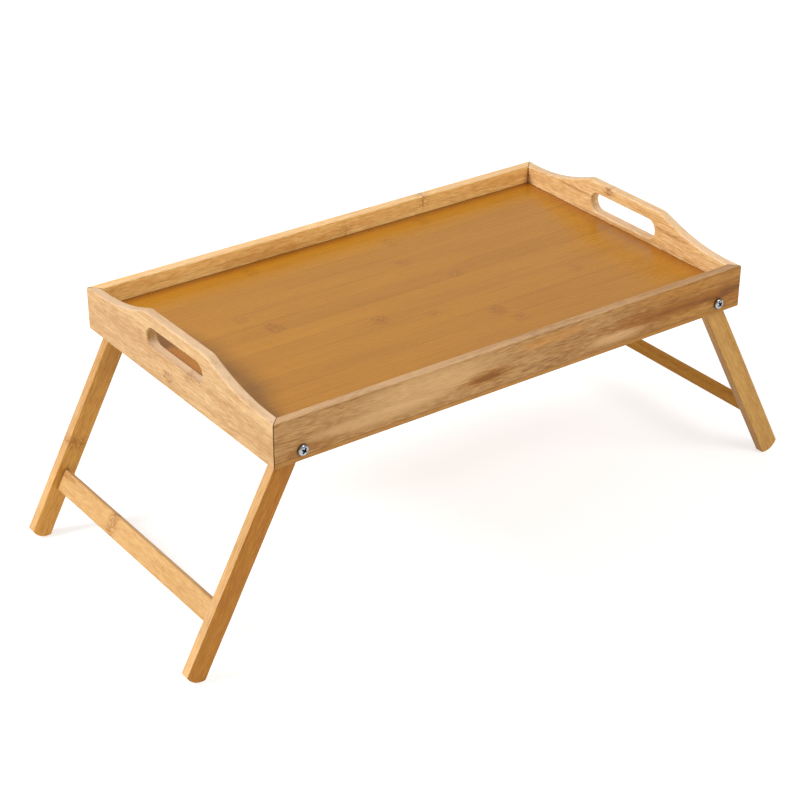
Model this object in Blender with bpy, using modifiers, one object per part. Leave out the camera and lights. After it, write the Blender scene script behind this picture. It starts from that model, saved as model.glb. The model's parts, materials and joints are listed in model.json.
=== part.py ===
"""Folding tray table: a bamboo serving tray carried by two folding leg frames.

Units are metres and +Z is up. +X runs along the tray, the front is at -Y, and the origin is on
the floor under the middle of the tray, with both leg frames open.
"""

import math

import bmesh
import bpy
from mathutils import Matrix

# ---------------------------------------------------------------- driving dimensions
GAP = 0.0003  # clearance between pieces that touch
MERGE = 0.00001  # points closer than this become one

TRAY_LENGTH = 0.500  # outside, along X
TRAY_WIDTH = 0.302  # outside, along Y
BOARD = 0.010  # thickness of the rails and end boards
RAIL_HEIGHT = 0.040
CREST_RISE = 0.0178  # how far the end boards' crest stands above the rails

PANEL = 0.003  # thickness of the bottom panel
PANEL_TOP = 0.023  # panel's upper face above the rails' lower edge
TONGUE = 0.002  # thickness of the panel's edges, which sit in grooves in the boards
GROOVE_DEPTH = 0.004

SLOT_LENGTH = 0.090  # handle slot, round ended
SLOT_HEIGHT = 0.019
SLOT_CENTRE = 0.037  # above the rails' lower edge

LEG_WIDTH = 0.0194
LEG_THICKNESS = 0.010
LEG_SPLAY = math.radians(28)  # open legs lean out by this from upright
PIVOT_TO_TIP = 0.2155  # pivot to the middle of the foot's arc
FOOT_RADIUS = 0.015  # the arc that ends each leg, flatter than a half circle
PIVOT_HEIGHT = 0.0099  # pivot above the rails' lower edge

BAR_HEIGHT = 0.020
BAR_THICKNESS = 0.006
PIVOT_TO_BAR = 0.158  # pivot to the cross bar's middle, along the leg
TENON_HEIGHT = 0.014
TENON_LENGTH = 0.0045

KEY_THICKNESS = 0.0015  # loose tongue glued across each mitre
KEY_WIDTH = 0.0075
KEY_HEIGHT = 0.010
KEY_BOTTOM = 0.0255  # above the rails' lower edge

SHANK_RADIUS = 0.0025
HEAD_RADIUS = 0.005
HEAD_HEIGHT = 0.0032
HEAD_DOME = 0.0020  # height of the domed part of the head
RECESS_DEPTH = 0.0022  # cross recess in the head
RECESS_TOP_REACH = 0.0028  # from the screw's axis to the end of each arm
RECESS_BOTTOM_REACH = 0.0010
RECESS_THINNESS = 0.16  # an arm's thickness over its length
SCREW_CHAMFER = 0.0005
WASHER_RADIUS = 0.005
SPACER_THICKNESS = 0.0006  # thin washer between rail and leg
WASHER_THICKNESS = 0.001  # washer under the nut
NUT_FLATS = 0.008
NUT_HEIGHT = 0.0035
COLLAR_RADIUS = 0.0034  # nylon collar of the lock nut
COLLAR_HEIGHT = 0.0014
SCREW_TIP = 0.0012  # screw past the nut

TOP_OUTER_ROUND = 0.0025  # edge radii of the tray's boards
TOP_INNER_ROUND = 0.0015
BOTTOM_ROUND = 0.0008
SLOT_ROUND = 0.0015
LEG_ROUND = 0.0013
BAR_ROUND = 0.0012

# ---------------------------------------------------------------- derived places
HALF_LENGTH = TRAY_LENGTH / 2
HALF_WIDTH = TRAY_WIDTH / 2
PIVOT_Z = (PIVOT_TO_TIP - FOOT_RADIUS) * math.cos(LEG_SPLAY) + FOOT_RADIUS
RAIL_BOTTOM = PIVOT_Z - PIVOT_HEIGHT
# An open leg's outer edge meets the lower inner edge of the end board, which stops it.
STOP_TO_PIVOT = (LEG_WIDTH / 2 + GAP + PIVOT_HEIGHT * math.sin(LEG_SPLAY)) / math.cos(LEG_SPLAY)
PIVOT_X = HALF_LENGTH - BOARD - STOP_TO_PIVOT
RAIL_INNER = HALF_WIDTH - BOARD
LEG_OUTER = RAIL_INNER - SPACER_THICKNESS - 2 * GAP
LEG_INNER = LEG_OUTER - LEG_THICKNESS
WASHER_INNER = LEG_INNER - GAP - WASHER_THICKNESS
NUT_OUTER = WASHER_INNER - GAP
SCREW_END = NUT_OUTER - NUT_HEIGHT - COLLAR_HEIGHT - SCREW_TIP

SIDES = {"left": -1, "right": 1}
ROWS = {"front": -1, "back": 1}
EDGES = {"lower": -1, "upper": 1}
UPRIGHT = Matrix.Rotation(math.radians(90), 4, "X")  # stands a flat drawing up, facing -Y
HANG = Matrix.Rotation(math.radians(90), 4, "Y") @ UPRIGHT  # turns its length to run down


# ---------------------------------------------------------------- scene and materials
def clear_scene():
    for obj in list(bpy.data.objects):
        bpy.data.objects.remove(obj, do_unlink=True)


def new_collection(name):
    collection = bpy.data.collections.new(name)
    bpy.context.scene.collection.children.link(collection)
    return collection


def new_material(name, colour, roughness, metallic=0.0):
    material = bpy.data.materials.new(name)
    material.use_nodes = True
    shader = material.node_tree.nodes["Principled BSDF"]
    shader.inputs["Base Color"].default_value = (*colour, 1.0)
    shader.inputs["Roughness"].default_value = roughness
    shader.inputs["Metallic"].default_value = metallic
    return material


clear_scene()
parts = new_collection("folding_tray_table")
cutters = new_collection("cutters")
RAIL_BAMBOO = new_material("rail_bamboo", (0.62, 0.39, 0.20), 0.45)
PANEL_BAMBOO = new_material("panel_bamboo", (0.50, 0.25, 0.07), 0.30)
LEG_BAMBOO = new_material("leg_bamboo", (0.57, 0.33, 0.14), 0.45)
KEY_BAMBOO = new_material("key_bamboo", (0.55, 0.36, 0.18), 0.60)
ZINC = new_material("zinc", (0.75, 0.76, 0.78), 0.25, 1.0)
NYLON = new_material("nylon", (0.80, 0.80, 0.76), 0.50)


def add_part(obj, material, parent=None):
    """Puts obj among the parts, with its material and its parent, whose frame it is placed in."""
    obj.data.materials.clear()
    obj.data.materials.append(material)
    parts.objects.link(obj)
    obj.parent = parent
    return obj


def as_cutter(obj, parent=None):
    """Keeps obj as a tool for Booleans only."""
    cutters.objects.link(obj)
    obj.parent = parent
    obj.hide_render = True
    obj.display_type = "WIRE"
    return obj


def combine(obj, tool, operation):
    """Adds a Boolean modifier to obj."""
    boolean = obj.modifiers.new(operation.title() + " " + tool.name, "BOOLEAN")
    boolean.operation = operation
    boolean.solver = "EXACT"
    boolean.object = tool


def cut(obj, cutter):
    combine(obj, cutter, "DIFFERENCE")


def join(obj, other):
    combine(obj, other, "UNION")


# ---------------------------------------------------------------- outlines
def bezier(start, handle_a, handle_b, end, count):
    """Points of a cubic curve after its start, up to and with its end."""
    points = []
    for step in range(1, count + 1):
        t = step / count
        weights = ((1 - t) ** 3, 3 * t * (1 - t) ** 2, 3 * t * t * (1 - t), t**3)
        corners = (start, handle_a, handle_b, end)
        points.append(tuple(sum(w * c[i] for w, c in zip(weights, corners)) for i in (0, 1)))
    return points


def arc(centre, radius, start, end, count):
    """Points of an arc with both its ends, the angles in degrees."""
    points = []
    for step in range(count + 1):
        angle = math.radians(start + (end - start) * step / count)
        points.append((centre[0] + radius * math.cos(angle), centre[1] + radius * math.sin(angle)))
    return points


def slot_outline():
    """The round-ended hand slot."""
    radius = SLOT_HEIGHT / 2
    reach = SLOT_LENGTH / 2 - radius
    right = arc((reach, SLOT_CENTRE), radius, -90, 90, 12)
    return right + arc((-reach, SLOT_CENTRE), radius, 90, 270, 12)


def end_board_outline():
    """Straight ends, long hollow flanks and a flat crest, mirrored about the middle."""
    tail = (0.138, RAIL_HEIGHT)
    shoulder = (0.056, RAIL_HEIGHT + 0.0156)
    crest = (0.046, RAIL_HEIGHT + CREST_RISE)
    half = [(HALF_WIDTH, 0), (HALF_WIDTH, RAIL_HEIGHT), tail]
    half += bezier(tail, (0.096, RAIL_HEIGHT), (0.070, RAIL_HEIGHT + 0.0107), shoulder, 12)
    half += bezier(shoulder, (0.0515, RAIL_HEIGHT + 0.0172), (0.051, crest[1]), crest, 4)
    return half + [(-x, z) for x, z in reversed(half)]


# ---------------------------------------------------------------- solids
def flat_solid(name, outlines, thickness):
    """A plate of even thickness about its own XY plane: the first outline is its edge, others are holes."""
    curve = bpy.data.curves.new(name, "CURVE")
    curve.dimensions = "2D"
    curve.fill_mode = "BOTH"
    curve.extrude = thickness / 2
    for outline in outlines:
        spline = curve.splines.new("POLY")
        spline.points.add(len(outline) - 1)
        for point, (x, y) in zip(spline.points, outline):
            point.co = (x, y, 0, 1)
        spline.use_cyclic_u = True
    guide = bpy.data.objects.new(name + "_outline", curve)
    bpy.context.scene.collection.objects.link(guide)
    graph = bpy.context.evaluated_depsgraph_get()
    mesh = bpy.data.meshes.new_from_object(guide.evaluated_get(graph))
    bpy.data.objects.remove(guide)
    bpy.data.curves.remove(curve)
    bm = bmesh.new()
    bm.from_mesh(mesh)
    bmesh.ops.remove_doubles(bm, verts=bm.verts, dist=MERGE)
    bmesh.ops.dissolve_limit(bm, angle_limit=math.radians(0.5), verts=bm.verts, edges=bm.edges)
    bmesh.ops.recalc_face_normals(bm, faces=bm.faces)
    bm.to_mesh(mesh)
    bm.free()
    mesh.name = name
    mesh.shade_smooth()
    mesh.set_sharp_from_angle(angle=math.radians(30))
    return bpy.data.objects.new(name, mesh)


def block(name, size, centre=(0, 0, 0)):
    """A box of that size about centre."""
    mesh = bpy.data.meshes.new(name)
    bm = bmesh.new()
    bmesh.ops.create_cube(bm, size=1.0, matrix=Matrix.Translation(centre) @ Matrix.Diagonal((*size, 1)))
    bm.to_mesh(mesh)
    bm.free()
    return bpy.data.objects.new(name, mesh)


def rod(name, radius, length, segments=24):
    """A cylinder along Y about the origin."""
    mesh = bpy.data.meshes.new(name)
    bm = bmesh.new()
    bmesh.ops.create_cone(
        bm, cap_ends=True, segments=segments, radius1=radius, radius2=radius, depth=length,
        matrix=Matrix.Rotation(math.radians(90), 4, "X"),
    )
    bm.to_mesh(mesh)
    bm.free()
    return bpy.data.objects.new(name, mesh)


def turned(name, profile, steps=24, closed=False):
    """A profile of (radius, height) points turned about Z. A closed profile makes a ring."""
    mesh = bpy.data.meshes.new(name)
    bm = bmesh.new()
    points = [bm.verts.new((radius, 0, height)) for radius, height in profile]
    followers = points[1:] + points[:1] if closed else points[1:]
    for first, second in zip(points, followers):
        bm.edges.new((first, second))
    bm.to_mesh(mesh)
    bm.free()
    obj = bpy.data.objects.new(name, mesh)
    screw = obj.modifiers.new("Turn", "SCREW")
    screw.axis = "Z"
    screw.angle = 2 * math.pi
    screw.steps = steps
    screw.render_steps = steps
    screw.use_merge_vertices = True
    screw.merge_threshold = MERGE
    screw.use_smooth_shade = True
    return obj


def trim(obj, point, outward):
    """Cuts obj with a plane and closes it, dropping the side that outward points to."""
    bm = bmesh.new()
    bm.from_mesh(obj.data)
    geometry = bm.verts[:] + bm.edges[:] + bm.faces[:]
    bmesh.ops.bisect_plane(
        bm, geom=geometry, dist=MERGE, plane_co=point, plane_no=outward, clear_outer=True
    )
    rim = [edge for edge in bm.edges if edge.is_boundary]
    bmesh.ops.holes_fill(bm, edges=rim, sides=0)
    bmesh.ops.recalc_face_normals(bm, faces=bm.faces)
    bm.to_mesh(obj.data)
    bm.free()


def round_edges(obj, radius_of, segments):
    """Rounds each edge by radius_of(edge), where 0 leaves it sharp, through one weighted Bevel."""
    bm = bmesh.new()
    bm.from_mesh(obj.data)
    weight = bm.edges.layers.float.new("bevel_weight_edge")
    radii = {edge: radius_of(edge) for edge in bm.edges}
    widest = max(radii.values())
    for edge, radius in radii.items():
        edge[weight] = radius / widest
    bm.to_mesh(obj.data)
    bm.free()
    bevel = obj.modifiers.new("Round edges", "BEVEL")
    bevel.limit_method = "WEIGHT"
    bevel.offset_type = "OFFSET"
    bevel.width = widest
    bevel.segments = segments
    bevel.use_clamp_overlap = False
    bevel.loop_slide = False


def middle(edge):
    return (edge.verts[0].co + edge.verts[1].co) / 2


def is_corner(edge):
    """True on an edge where two faces meet at 60 degrees or more."""
    return len(edge.link_faces) == 2 and edge.calc_face_angle(0) > math.radians(60)


def on_rim(edge, face_z):
    """True if the edge lies in the plate's face at height face_z of its own frame."""
    return all(abs(vert.co.z - face_z) < MERGE for vert in edge.verts)


# ---------------------------------------------------------------- tray
def board_radius(edge):
    """Edge radii of an upright board drawn flat: Y is its height, and +Z faces out of the tray."""
    outer = on_rim(edge, BOARD / 2)
    inner = on_rim(edge, -BOARD / 2)
    upright = abs(edge.verts[0].co.x - edge.verts[1].co.x) < MERGE
    if upright or not is_corner(edge) or not (outer or inner):
        return 0
    place = middle(edge)
    in_slot_length = abs(place.x) < SLOT_LENGTH / 2 + MERGE
    in_slot_height = abs(place.y - SLOT_CENTRE) < SLOT_HEIGHT / 2 + MERGE
    if in_slot_length and in_slot_height:
        return SLOT_ROUND
    if place.y < MERGE:
        return BOTTOM_ROUND
    return TOP_OUTER_ROUND if outer else TOP_INNER_ROUND


def mitre_ends(board, length):
    """Cuts both ends at 45 degrees, half a gap short of the joint."""
    for end in (-1, 1):
        outward = (end, 0, -1)
        tip = (end * (length / 2 - GAP / math.sqrt(2)), 0, BOARD / 2)
        trim(board, tip, outward)


def stand_board(board, angle, x, y):
    """Stands a board drawn flat upright on the rails' lower edge, and turns it about Z."""
    board.rotation_euler = (math.radians(90), 0, angle)
    board.location = (x, y, RAIL_BOTTOM)


def make_tray():
    boards = []
    for row, sign in ROWS.items():
        right = [(HALF_LENGTH, 0), (HALF_LENGTH, RAIL_HEIGHT)]
        corners = right + [(-x, z) for x, z in reversed(right)]
        rail = flat_solid(row + "_rail", [corners], BOARD)
        mitre_ends(rail, TRAY_LENGTH)
        stand_board(rail, 0 if sign < 0 else math.pi, 0, sign * (HALF_WIDTH - BOARD / 2))
        boards.append(rail)
    slot = slot_outline()
    for side, sign in SIDES.items():
        end = flat_solid(side + "_end_board", [end_board_outline(), slot], BOARD)
        mitre_ends(end, TRAY_WIDTH)
        stand_board(end, sign * math.pi / 2, sign * (HALF_LENGTH - BOARD / 2), 0)
        boards.append(end)

    margin = BOARD - GROOVE_DEPTH
    room_length = TRAY_LENGTH - 2 * margin
    room_width = TRAY_WIDTH - 2 * margin
    panel_place = (0, 0, RAIL_BOTTOM + PANEL_TOP - PANEL / 2)
    clear_length = TRAY_LENGTH - 2 * (BOARD + GAP)
    clear_width = TRAY_WIDTH - 2 * (BOARD + GAP)
    panel = block("bottom_panel", (clear_length, clear_width, PANEL))
    panel.location = panel_place
    add_part(panel, PANEL_BAMBOO)
    tongue = block("panel_tongue", (room_length - 2 * GAP, room_width - 2 * GAP, TONGUE))
    join(panel, as_cutter(tongue, panel))
    groove = block("panel_groove", (room_length, room_width, TONGUE + 2 * GAP))
    groove.location = panel_place
    as_cutter(groove)

    for board in boards:
        round_edges(board, board_radius, 3)
        add_part(board, RAIL_BAMBOO)
        cut(board, groove)
    return {board.name: board for board in boards}


def make_corner_keys(boards):
    """A loose tongue across each mitre, above the panel's groove and hidden once glued."""
    for side, x_sign in SIDES.items():
        for row, y_sign in ROWS.items():
            place = (
                x_sign * (HALF_LENGTH - BOARD / 2),
                y_sign * (HALF_WIDTH - BOARD / 2),
                RAIL_BOTTOM + KEY_BOTTOM + KEY_HEIGHT / 2,
            )
            turn = -x_sign * y_sign * math.radians(45)
            name = "corner_key_" + row + "_" + side
            key_size = (KEY_WIDTH, KEY_THICKNESS, KEY_HEIGHT)
            key = block(name, key_size)
            room = block(name + "_slot", [size + 2 * GAP for size in key_size])
            for obj in (key, room):
                obj.location = place
                obj.rotation_euler = (0, 0, turn)
            add_part(key, KEY_BAMBOO)
            as_cutter(room)
            cut(boards[row + "_rail"], room)
            cut(boards[side + "_end_board"], room)


# ---------------------------------------------------------------- leg frames
def leg_radius(edge):
    """Rounds both rims of a leg drawn flat."""
    rim = on_rim(edge, LEG_THICKNESS / 2) or on_rim(edge, -LEG_THICKNESS / 2)
    return LEG_ROUND if rim and is_corner(edge) else 0


def leg_outline():
    """A leg along +X from its pivot, with a half-round upper end and a flatter arc for a foot."""
    half_angle = math.degrees(math.asin(LEG_WIDTH / 2 / FOOT_RADIUS))
    foot = arc((PIVOT_TO_TIP - FOOT_RADIUS, 0), FOOT_RADIUS, -half_angle, half_angle, 12)
    return foot + arc((0, 0), LEG_WIDTH / 2, 90, 270, 16)


def bar_radius(edge):
    """Rounds a cross bar's four long edges."""
    return BAR_ROUND if abs(edge.verts[0].co.y - edge.verts[1].co.y) > MERGE else 0


def make_cross_bar(side, pivot):
    """A rounded slat along Y, notched at its four corners to leave a stub tenon at each end."""
    tip = LEG_INNER - GAP + TENON_LENGTH
    bar = block(side + "_cross_bar", (BAR_THICKNESS, 2 * tip, BAR_HEIGHT))
    round_edges(bar, bar_radius, 3)
    bar.location = (0, 0, -PIVOT_TO_BAR)
    add_part(bar, LEG_BAMBOO, pivot)
    for end, y_sign in ROWS.items():
        for edge, z_sign in EDGES.items():
            notch_size = (2 * BAR_THICKNESS, 2 * TENON_LENGTH, BAR_HEIGHT - TENON_HEIGHT)
            notch = block("_".join((side, end, edge, "notch")), notch_size)
            notch.location = (0, y_sign * tip, z_sign * BAR_HEIGHT / 2)
            as_cutter(notch, bar)
            cut(bar, notch)


def make_leg_frame(side, x_sign, pivot_bore):
    """Two legs and a cross bar under an empty on the pivot axis, drawn hanging and then leaned out."""
    pivot = bpy.data.objects.new(side + "_leg_pivot", None)
    parts.objects.link(pivot)
    pivot.location = (x_sign * PIVOT_X, 0, PIVOT_Z)
    pivot.rotation_euler = (0, -x_sign * LEG_SPLAY, 0)

    for row, y_sign in ROWS.items():
        leg = flat_solid("leg_" + row + "_" + side, [leg_outline()], LEG_THICKNESS)
        round_edges(leg, leg_radius, 3)
        leg.data.transform(HANG)
        leg.location = (0, y_sign * (LEG_INNER + LEG_THICKNESS / 2), 0)
        add_part(leg, LEG_BAMBOO, pivot)
        depth = TENON_LENGTH + GAP
        mortise_size = (BAR_THICKNESS + 2 * GAP, depth, TENON_HEIGHT + 2 * GAP)
        mortise = block(leg.name + "_mortise", mortise_size)
        mortise.location = (0, y_sign * (LEG_INNER + depth / 2 - GAP), -PIVOT_TO_BAR)
        as_cutter(mortise, pivot)
        cut(leg, pivot_bore)
        cut(leg, mortise)

    make_cross_bar(side, pivot)


# ---------------------------------------------------------------- pivot hardware
def screw_profile():
    """A domed pan head over a plain shank with a blunt point, from the top down."""
    length = HALF_WIDTH + GAP - SCREW_END
    profile = [(0, HEAD_HEIGHT)]
    for angle in (75, 55, 35, 15, 0):
        turn = math.radians(angle)
        height = HEAD_HEIGHT - HEAD_DOME * (1 - math.sin(turn))
        profile.append((HEAD_RADIUS * math.cos(turn), height))
    profile += [
        (HEAD_RADIUS, 0),
        (SHANK_RADIUS, 0),
        (SHANK_RADIUS, SCREW_CHAMFER - length),
        (SHANK_RADIUS - SCREW_CHAMFER, -length),
        (0, -length),
    ]
    return profile


def recess_blade(name):
    """A thin tapered blade about Z, two of which sink a cross recess into a screw's head."""
    mesh = bpy.data.meshes.new(name)
    bm = bmesh.new()
    bmesh.ops.create_cone(
        bm, cap_ends=True, segments=4, depth=RECESS_DEPTH + GAP,
        radius1=RECESS_BOTTOM_REACH * math.sqrt(2), radius2=RECESS_TOP_REACH * math.sqrt(2),
        matrix=Matrix.Diagonal((1, RECESS_THINNESS, 1, 1)) @ Matrix.Rotation(math.radians(45), 4, "Z"),
    )
    bm.to_mesh(mesh)
    bm.free()
    blade = bpy.data.objects.new(name, mesh)
    blade.location = (0, 0, HEAD_HEIGHT + (GAP - RECESS_DEPTH) / 2)
    return blade


def ring(name, inner, outer, thickness):
    """A washer about the origin, its axis along Z."""
    half = thickness / 2
    return turned(name, [(inner, half), (outer, half), (outer, -half), (inner, -half)], closed=True)


def lock_nut(name, bore_radius):
    """A hexagon nut standing on the origin with its nylon collar on top, bored through."""
    corner = NUT_FLATS / math.sqrt(3)
    mesh = bpy.data.meshes.new(name)
    bm = bmesh.new()
    bmesh.ops.create_cone(
        bm, cap_ends=True, segments=6, radius1=corner, radius2=corner, depth=NUT_HEIGHT,
        matrix=Matrix.Translation((0, 0, NUT_HEIGHT / 2)),
    )
    bm.to_mesh(mesh)
    bm.free()
    nut = add_part(bpy.data.objects.new(name, mesh), ZINC)

    top = NUT_HEIGHT + COLLAR_HEIGHT
    root = NUT_HEIGHT - GAP
    collar = turned(name + "_collar", [(0, top), (COLLAR_RADIUS, top), (COLLAR_RADIUS, root), (0, root)])
    join(nut, as_cutter(collar, nut))
    bore = rod(name + "_bore", bore_radius, 3 * top)
    bore.rotation_euler = (math.radians(90), 0, 0)
    cut(nut, as_cutter(bore, nut))
    return nut


def point_along_y(obj, y_sign):
    """Turns obj so that its own +Z points out of the tray, along Y."""
    obj.rotation_euler = (-y_sign * math.radians(90), 0, 0)
    return obj


def make_pivot_hardware():
    """Screw, spacer washer, inner washer and lock nut at each of the four pivots."""
    bore_radius = SHANK_RADIUS + GAP
    for side, x_sign in SIDES.items():
        for row, y_sign in ROWS.items():
            corner = row + "_" + side
            x = x_sign * PIVOT_X

            screw = point_along_y(turned("pivot_screw_" + corner, screw_profile()), y_sign)
            screw.location = (x, y_sign * (HALF_WIDTH + GAP), PIVOT_Z)
            add_part(screw, ZINC)
            for turn in (0, 90):
                blade = recess_blade(screw.name + "_blade_" + str(turn))
                blade.rotation_euler = (0, 0, math.radians(turn))
                as_cutter(blade, screw)
                cut(screw, blade)

            spacer = ring("spacer_washer_" + corner, bore_radius, WASHER_RADIUS, SPACER_THICKNESS)
            point_along_y(spacer, y_sign)
            spacer.location = (x, y_sign * (RAIL_INNER - GAP - SPACER_THICKNESS / 2), PIVOT_Z)
            add_part(spacer, NYLON)

            washer = ring("nut_washer_" + corner, bore_radius, WASHER_RADIUS, WASHER_THICKNESS)
            point_along_y(washer, y_sign)
            washer.location = (x, y_sign * (WASHER_INNER + WASHER_THICKNESS / 2), PIVOT_Z)
            add_part(washer, ZINC)

            nut = lock_nut("lock_nut_" + corner, bore_radius)
            point_along_y(nut, -y_sign)
            nut.location = (x, y_sign * NUT_OUTER, PIVOT_Z)


# ---------------------------------------------------------------- assembly
def main():
    boards = make_tray()
    make_corner_keys(boards)
    for side, x_sign in SIDES.items():
        bore = rod(side + "_pivot_bore", SHANK_RADIUS + GAP, TRAY_WIDTH + 2 * BOARD)
        bore.location = (x_sign * PIVOT_X, 0, PIVOT_Z)
        as_cutter(bore)
        for row in ROWS:
            cut(boards[row + "_rail"], bore)
        make_leg_frame(side, x_sign, bore)
    make_pivot_hardware()


main()
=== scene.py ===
"""Folding tray table: bamboo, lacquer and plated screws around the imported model.

Units are metres and +Z is up. Each wooden piece is made lying in its own frame, with X along the
grain, Y across its face and Z out of its face, so that its grain follows it at every pose.
"""

import json
import math

import bmesh
import bpy
from mathutils import Matrix, Vector

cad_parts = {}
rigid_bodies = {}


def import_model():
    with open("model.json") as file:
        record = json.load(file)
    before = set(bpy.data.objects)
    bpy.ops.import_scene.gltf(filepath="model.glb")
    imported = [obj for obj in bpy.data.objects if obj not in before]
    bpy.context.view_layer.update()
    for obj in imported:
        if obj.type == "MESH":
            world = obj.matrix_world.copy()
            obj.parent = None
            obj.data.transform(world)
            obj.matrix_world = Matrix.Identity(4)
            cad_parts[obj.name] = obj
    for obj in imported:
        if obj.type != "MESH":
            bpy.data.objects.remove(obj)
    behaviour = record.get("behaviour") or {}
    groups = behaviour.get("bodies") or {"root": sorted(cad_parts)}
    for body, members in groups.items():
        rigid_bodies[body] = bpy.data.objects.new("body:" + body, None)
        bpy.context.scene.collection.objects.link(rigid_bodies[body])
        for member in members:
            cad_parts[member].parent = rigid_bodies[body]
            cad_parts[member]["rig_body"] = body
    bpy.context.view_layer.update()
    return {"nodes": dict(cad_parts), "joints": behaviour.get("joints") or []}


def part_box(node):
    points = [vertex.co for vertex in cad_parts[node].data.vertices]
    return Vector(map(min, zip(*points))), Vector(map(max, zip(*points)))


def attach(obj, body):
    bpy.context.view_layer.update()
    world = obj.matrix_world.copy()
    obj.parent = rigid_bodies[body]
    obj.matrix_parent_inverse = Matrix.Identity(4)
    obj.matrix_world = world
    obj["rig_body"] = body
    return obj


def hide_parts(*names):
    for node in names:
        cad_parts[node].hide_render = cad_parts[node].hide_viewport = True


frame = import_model()

# ---------------------------------------------------------------- sizes, from the frame
END_LOW, END_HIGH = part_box("left_end_board")
RAIL_LOW, RAIL_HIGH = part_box("front_rail")
PANEL_LOW, PANEL_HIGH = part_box("bottom_panel")
TRAY_LENGTH = -2 * END_LOW.x
TRAY_WIDTH = -2 * RAIL_LOW.y
BOARD = END_HIGH.x - END_LOW.x
RAIL_BOTTOM = RAIL_LOW.z
RAIL_HEIGHT = RAIL_HIGH.z - RAIL_LOW.z
CREST_HEIGHT = END_HIGH.z - END_LOW.z
JOINTS = {joint["child"]: Vector(joint["pos_m"]) for joint in frame["joints"]}

# ---------------------------------------------------------------- sizes, from the design
GAP = 0.0003  # clearance between pieces, on each side
MERGE = 0.00001  # points closer than this are one
TONGUE = 0.002  # thickness of the panel's tongue, in the boards' groove
SLOT_LENGTH, SLOT_HEIGHT, SLOT_CENTRE = 0.090, 0.019, 0.037
LEG_WIDTH = 0.0194
LEG_SPLAY = math.radians(28)
LEG_THICKNESS = 0.010
PIVOT_TO_TIP, FOOT_RADIUS = 0.2155, 0.015
BAR_HEIGHT, BAR_THICKNESS, PIVOT_TO_BAR = 0.020, 0.006, 0.158
TENON_HEIGHT, TENON_LENGTH = 0.014, 0.0045
KEY_THICKNESS, KEY_WIDTH, KEY_HEIGHT = 0.0015, 0.0075, 0.010
SHANK_RADIUS = 0.0025
BORE_RADIUS = SHANK_RADIUS + GAP
HEAD_RADIUS, HEAD_HEIGHT, HEAD_DOME = 0.005, 0.0032, 0.0020
THREAD_START, THREAD_PITCH, THREAD_DEPTH = 0.004, 0.0008, 0.00038
RECESS_REACH, RECESS_TIP, RECESS_DEPTH = 0.0033, 0.0011, 0.0022
RECESS_THINNESS = 0.30  # thickness of the cross's arms, as a share of their reach
NUT_FLATS, NUT_HEIGHT = 0.008, 0.0035
COLLAR_RADIUS, COLLAR_HEIGHT = 0.0034, 0.0014
WASHER_RADIUS = 0.005
TURNING_STEPS = 72

TOP_OUTER_ROUND, TOP_INNER_ROUND, BOTTOM_ROUND = 0.0025, 0.0015, 0.0008
SLOT_ROUND, MITRE_ROUND, LEG_ROUND, BAR_ROUND = 0.0015, 0.0007, 0.0013, 0.0012
ROUND_SEGMENTS = 6

SIDES = {"left": -1, "right": 1}  # along X
ROWS = {"front": -1, "back": 1}  # along Y
UPRIGHT = Matrix.Rotation(math.radians(90), 4, "X")  # stands a flat drawing up, facing -Y
HANG = Matrix.Rotation(math.radians(90), 4, "Y") @ UPRIGHT  # turns its length to run down


# ---------------------------------------------------------------- outlines
def bezier(start, handle_a, handle_b, end, count):
    """Points of a cubic curve after its start, up to and with its end."""
    points = []
    for step in range(1, count + 1):
        t = step / count
        weights = ((1 - t) ** 3, 3 * t * (1 - t) ** 2, 3 * t * t * (1 - t), t**3)
        corners = (start, handle_a, handle_b, end)
        points.append(tuple(sum(w * c[i] for w, c in zip(weights, corners)) for i in (0, 1)))
    return points


def arc(centre, radius, start, end, count):
    """Points of an arc between two angles in degrees."""
    points = []
    for step in range(count + 1):
        angle = math.radians(start + (end - start) * step / count)
        points.append((centre[0] + radius * math.cos(angle), centre[1] + radius * math.sin(angle)))
    return points


def slot_outline(swell):
    """The round-ended hand slot, let out all round by swell."""
    radius = SLOT_HEIGHT / 2 + swell
    reach = (SLOT_LENGTH - SLOT_HEIGHT) / 2
    right = arc((reach, SLOT_CENTRE), radius, -90, 90, 24)
    return right + arc((-reach, SLOT_CENTRE), radius, 90, 270, 24)


def end_board_outline():
    """Flat over the rails' height, then rising by two curves on each side to a straight crest."""
    tail = (0.138, RAIL_HEIGHT)
    shoulder = (0.056, RAIL_HEIGHT + 0.0156)
    crest = (0.046, CREST_HEIGHT)
    half = [(TRAY_WIDTH / 2, 0), (TRAY_WIDTH / 2, RAIL_HEIGHT), tail]
    half += bezier(tail, (0.096, RAIL_HEIGHT), (0.070, RAIL_HEIGHT + 0.0107), shoulder, 20)
    half += bezier(shoulder, (0.0515, RAIL_HEIGHT + 0.0172), (0.051, crest[1]), crest, 8)
    return half + [(-x, z) for x, z in reversed(half)]


# ---------------------------------------------------------------- solids
def new_object(name, data):
    obj = bpy.data.objects.new(name, data)
    bpy.context.scene.collection.objects.link(obj)
    return obj


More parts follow.
